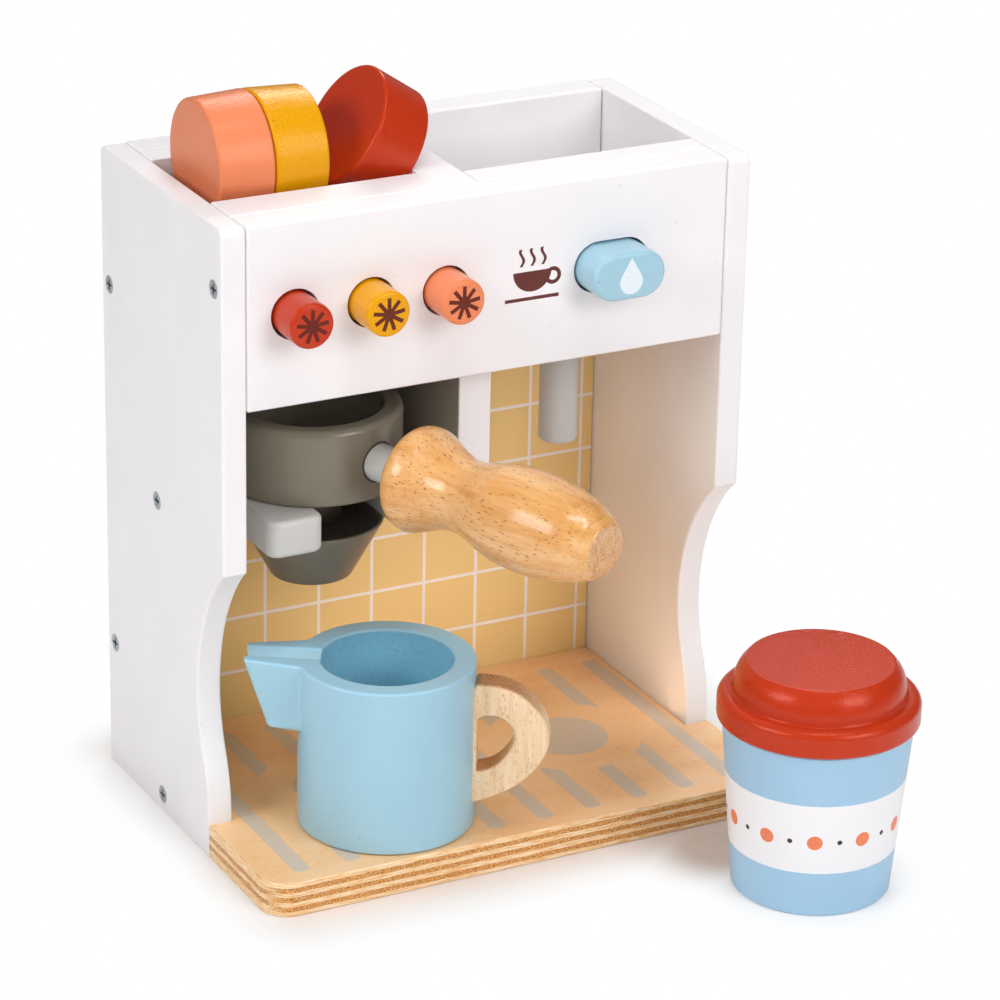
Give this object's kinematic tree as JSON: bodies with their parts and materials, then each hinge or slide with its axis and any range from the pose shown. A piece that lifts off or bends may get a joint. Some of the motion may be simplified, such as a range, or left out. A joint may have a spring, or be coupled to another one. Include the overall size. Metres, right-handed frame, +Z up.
{
  "type": "toy coffee maker",
  "caption": "Painted wooden toy espresso machine with push buttons, lift-out pods, a pull-out filter holder, a jug and a lidded cup.",
  "frame": {"origin": "on the floor, midway between the side panels and midway along their depth", "axes": "+X to the object's right seen from the front, +Y to its back, +Z up"},
  "size_m": [0.2401, 0.2527, 0.2949],
  "materials": {
    "white_paint": "satin white lacquer on board",
    "tile_printed_board": "satin lacquer printed with plain square tiles",
    "printed_plywood": "clear varnished birch plywood with a grey drip tray print",
    "light_grey_paint": "satin light grey lacquer on wood",
    "dark_grey_paint": "satin dark grey lacquer on turned wood",
    "varnished_hardwood": "clear satin varnish on turned hardwood",
    "plain_beech": "sanded, unvarnished",
    "blue_paint": "satin light blue lacquer on wood",
    "cup_blue_and_white_paint": "satin light blue lacquer with a white band",
    "red_paint": "satin brick red lacquer on wood",
    "yellow_paint": "satin yellow lacquer on wood",
    "peach_paint": "satin peach lacquer on wood",
    "zinc_plated_steel": "bright zinc plate",
    "spring_steel": "drawn wire"
  },
  "bodies": {
    "cabinet": {"left_side_panel": "white_paint", "right_side_panel": "white_paint", "front_fascia": "white_paint", "left_inner_rail": "white_paint", "right_inner_rail": "white_paint", "pod_tray": "white_paint", "divider": "white_paint", "storage_floor": "white_paint", "back_panel": "tile_printed_board", "base_board": "printed_plywood", "water_spout": "light_grey_paint", "portafilter_fork": "light_grey_paint", "left_panel_screws": "zinc_plated_steel", "right_panel_screws": "zinc_plated_steel", "back_panel_screws": "zinc_plated_steel", "red_button_spring": "spring_steel", "yellow_button_spring": "spring_steel", "peach_button_spring": "spring_steel", "blue_button_spring": "spring_steel"},
    "portafilter_spindle": {"filter_neck": "dark_grey_paint", "filter_cone": "dark_grey_paint"},
    "portafilter": {"filter_cup": "dark_grey_paint", "handle_stem": "light_grey_paint", "handle_grip": "varnished_hardwood"},
    "peach_pod": {"peach_pod": "peach_paint"},
    "yellow_pod": {"yellow_pod": "yellow_paint"},
    "red_pod": {"red_pod": "red_paint"},
    "jug": {"jug_body": "blue_paint", "jug_spout": "blue_paint", "jug_handle": "plain_beech"},
    "cup": {"cup_body": "cup_blue_and_white_paint"},
    "lid": {"cup_lid": "red_paint"},
    "red_button": {"red_button": "red_paint", "red_button_collar": "plain_beech"},
    "yellow_button": {"yellow_button": "yellow_paint", "yellow_button_collar": "plain_beech"},
    "peach_button": {"peach_button": "peach_paint", "peach_button_collar": "plain_beech"},
    "blue_button": {"blue_button": "blue_paint", "blue_button_collar": "plain_beech"}
  },
  "joints": [
    {"name": "red_button_push", "type": "slide", "parent": "cabinet", "child": "red_button", "axis": [0, 1, 0], "range_m": [0, 0.005], "stiffness_N_per_m": 300, "springref_m": -0.002, "deforming": ["red_button_spring"]},
    {"name": "yellow_button_push", "type": "slide", "parent": "cabinet", "child": "yellow_button", "axis": [0, 1, 0], "range_m": [0, 0.005], "stiffness_N_per_m": 300, "springref_m": -0.002, "deforming": ["yellow_button_spring"]},
    {"name": "peach_button_push", "type": "slide", "parent": "cabinet", "child": "peach_button", "axis": [0, 1, 0], "range_m": [0, 0.005], "stiffness_N_per_m": 300, "springref_m": -0.002, "deforming": ["peach_button_spring"]},
    {"name": "blue_button_push", "type": "slide", "parent": "cabinet", "child": "blue_button", "axis": [0, 1, 0], "range_m": [0, 0.005], "stiffness_N_per_m": 300, "springref_m": -0.002, "deforming": ["blue_button_spring"]},
    {"name": "portafilter_pull", "type": "slide", "parent": "cabinet", "child": "portafilter_spindle", "axis": [0, -1, 0], "range_m": [0, 0.06]},
    {"name": "portafilter_twist", "type": "hinge", "parent": "portafilter_spindle", "child": "portafilter", "pos_m": [-0.0534, -0.0114, 0.155], "axis": [0, 0, 1], "range_deg": [-42, 2]},
    {"name": "peach_pod_lift", "type": "slide", "parent": "cabinet", "child": "peach_pod", "axis": [0, 0, 1], "range_m": [0, 0.06]},
    {"name": "yellow_pod_lift", "type": "slide", "parent": "cabinet", "child": "yellow_pod", "axis": [0, 0, 1], "range_m": [0, 0.06]},
    {"name": "red_pod_lift", "type": "slide", "parent": "cabinet", "child": "red_pod", "axis": [0, 0, 1], "range_m": [0, 0.06]},
    {"name": "jug_slide", "type": "slide", "parent": "cabinet", "child": "jug", "axis": [0, -1, 0], "range_m": [0, 0.12]},
    {"name": "cup_lift", "type": "slide", "parent": "cabinet", "child": "cup", "axis": [0, 0, 1], "range_m": [0, 0.08]},
    {"name": "lid_lift", "type": "slide", "parent": "cup", "child": "lid", "axis": [0, 0, 1], "range_m": [0, 0.04]}
  ]
}
